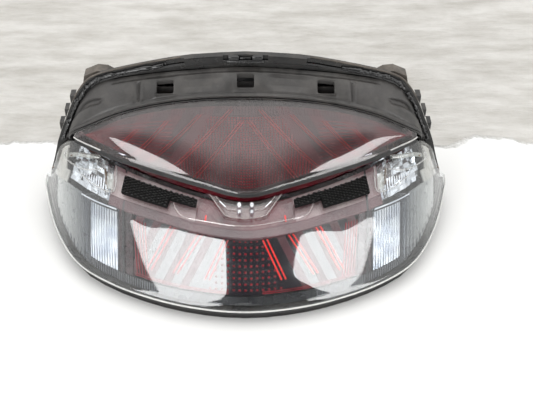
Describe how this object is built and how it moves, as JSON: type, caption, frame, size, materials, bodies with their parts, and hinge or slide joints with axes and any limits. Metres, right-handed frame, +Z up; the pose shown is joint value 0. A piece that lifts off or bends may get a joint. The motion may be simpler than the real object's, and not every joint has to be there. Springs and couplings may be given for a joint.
{
  "type": "motorcycle tail light",
  "caption": "Wide curved motorcycle tail light with stacked clear and smoked lenses, built-in turn signals, a plastic shroud and a tub housing with twist-lock bulb holders.",
  "frame": {"origin": "under the middle of the lamp's outer box, on the surface that the housing's flat underside stands on", "axes": "+X to the right seen from behind the motorcycle, +Y from the lenses to the bulb holders, +Z up"},
  "size_m": [0.3026, 0.1852, 0.1285],
  "materials": {
    "housing_plastic": "fine moulded grain, black",
    "shroud_plastic": "worn satin, warm dark grey",
    "clear_lens": "polished clear polycarbonate",
    "smoked_lens": "polished clear polycarbonate over a hazy inside",
    "red_lens": "prismatic translucent red",
    "reflector_chrome": "vacuum metallised mirror",
    "seal_rubber": "matt black",
    "pad_foam": "rough black open loops",
    "fastener_steel": "zinc plated",
    "insert_brass": "turned",
    "holder_plastic": "fine moulded grain, dark grey",
    "bulb_clear": "clear blown glass",
    "bulb_amber": "amber coated glass"
  },
  "bodies": {
    "lamp": {"rear_housing": "housing_plastic", "upper_shroud": "shroud_plastic", "lower_outer_lens": "clear_lens", "upper_outer_lens": "smoked_lens", "upper_lens_gasket": "seal_rubber", "upper_lens_skirt": "red_lens", "upper_inner_lens": "red_lens", "lower_inner_lens": "red_lens", "flute_lens_left": "clear_lens", "flute_lens_right": "clear_lens", "lower_reflector": "reflector_chrome", "turn_reflector_left": "reflector_chrome", "turn_reflector_right": "reflector_chrome", "upper_reflector": "reflector_chrome", "divider_left": "reflector_chrome", "divider_right": "reflector_chrome", "foam_pad_left": "pad_foam", "foam_pad_right": "pad_foam", "pod_bar_left": "clear_lens", "pod_bar_right": "clear_lens", "corner_reflector_left": "reflector_chrome", "corner_reflector_right": "reflector_chrome", "center_bracket": "clear_lens", "locating_pin_left": "reflector_chrome", "locating_pin_right": "reflector_chrome", "mount_ear_left": "shroud_plastic", "mount_ear_right": "shroud_plastic", "side_clip_left_1": "housing_plastic", "side_clip_left_2": "housing_plastic", "side_clip_left_3": "housing_plastic", "side_clip_right_1": "housing_plastic", "side_clip_right_2": "housing_plastic", "side_clip_right_3": "housing_plastic", "flange_seal": "seal_rubber", "housing_screw_1": "fastener_steel", "housing_screw_2": "fastener_steel", "housing_screw_3": "fastener_steel", "housing_screw_4": "fastener_steel", "threaded_insert_left": "insert_brass", "threaded_insert_right": "insert_brass", "vent_cap": "seal_rubber"},
    "tail_socket_left": {"tail_left_holder": "holder_plastic", "tail_left_seal": "seal_rubber", "tail_left_bulb": "bulb_clear", "tail_left_contacts": "insert_brass"},
    "tail_socket_right": {"tail_right_holder": "holder_plastic", "tail_right_seal": "seal_rubber", "tail_right_bulb": "bulb_clear", "tail_right_contacts": "insert_brass"},
    "turn_socket_left": {"turn_left_holder": "holder_plastic", "turn_left_seal": "seal_rubber", "turn_left_bulb": "bulb_amber", "turn_left_contacts": "insert_brass"},
    "turn_socket_right": {"turn_right_holder": "holder_plastic", "turn_right_seal": "seal_rubber", "turn_right_bulb": "bulb_amber", "turn_right_contacts": "insert_brass"}
  },
  "joints": [
    {"name": "tail_left_twist", "type": "hinge", "parent": "lamp", "child": "tail_socket_left", "pos_m": [-0.04, 0.0776, 0.036], "axis": [0, 1, 0], "range_deg": [0, 45]},
    {"name": "tail_right_twist", "type": "hinge", "parent": "lamp", "child": "tail_socket_right", "pos_m": [0.04, 0.0776, 0.036], "axis": [0, 1, 0], "range_deg": [0, 45]},
    {"name": "turn_left_twist", "type": "hinge", "parent": "lamp", "child": "turn_socket_left", "pos_m": [-0.112, 0.0776, 0.036], "axis": [0, 1, 0], "range_deg": [0, 45]},
    {"name": "turn_right_twist", "type": "hinge", "parent": "lamp", "child": "turn_socket_right", "pos_m": [0.112, 0.0776, 0.036], "axis": [0, 1, 0], "range_deg": [0, 45]}
  ]
}
